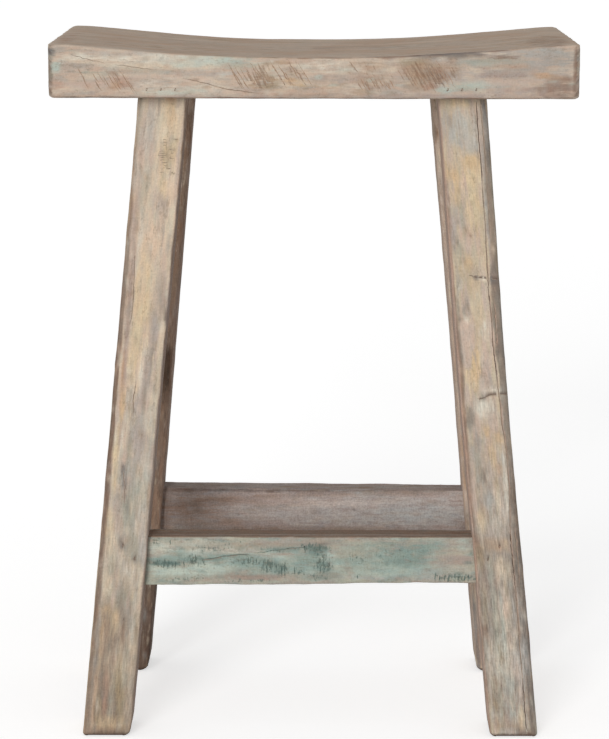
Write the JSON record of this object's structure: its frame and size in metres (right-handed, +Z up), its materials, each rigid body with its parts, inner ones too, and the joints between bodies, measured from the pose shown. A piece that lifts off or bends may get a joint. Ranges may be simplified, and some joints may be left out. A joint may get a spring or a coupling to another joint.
{
  "type": "counter stool",
  "caption": "Backless counter stool: a thick wooden seat slab with a dished top on splayed square legs, tied by low front and rear rails and higher side rails.",
  "frame": {"origin": "on the floor under the middle of the seat", "axes": "+Z up, +X to the right and +Y to the rear for someone who faces the front of the stool"},
  "size_m": [0.48, 0.24, 0.66],
  "materials": {
    "seat_wood": "worn flat, with a pale paint residue on the edges and a planed grey brown top",
    "leg_wood": "worn flat, with a pale paint residue over brown wood",
    "rail_wood": "worn flat, with a green grey paint residue over brown wood",
    "pin_metal": "dark and rusted"
  },
  "bodies": {
    "root": {"seat": "seat_wood", "front_left_leg": "leg_wood", "front_right_leg": "leg_wood", "rear_left_leg": "leg_wood", "rear_right_leg": "leg_wood", "front_rail": "rail_wood", "rear_rail": "rail_wood", "left_rail": "rail_wood", "right_rail": "rail_wood", "front_seat_pins": "pin_metal", "rear_seat_pins": "pin_metal", "front_rail_pins": "pin_metal", "rear_rail_pins": "pin_metal", "side_rail_pins": "pin_metal"}
  },
  "joints": []
}
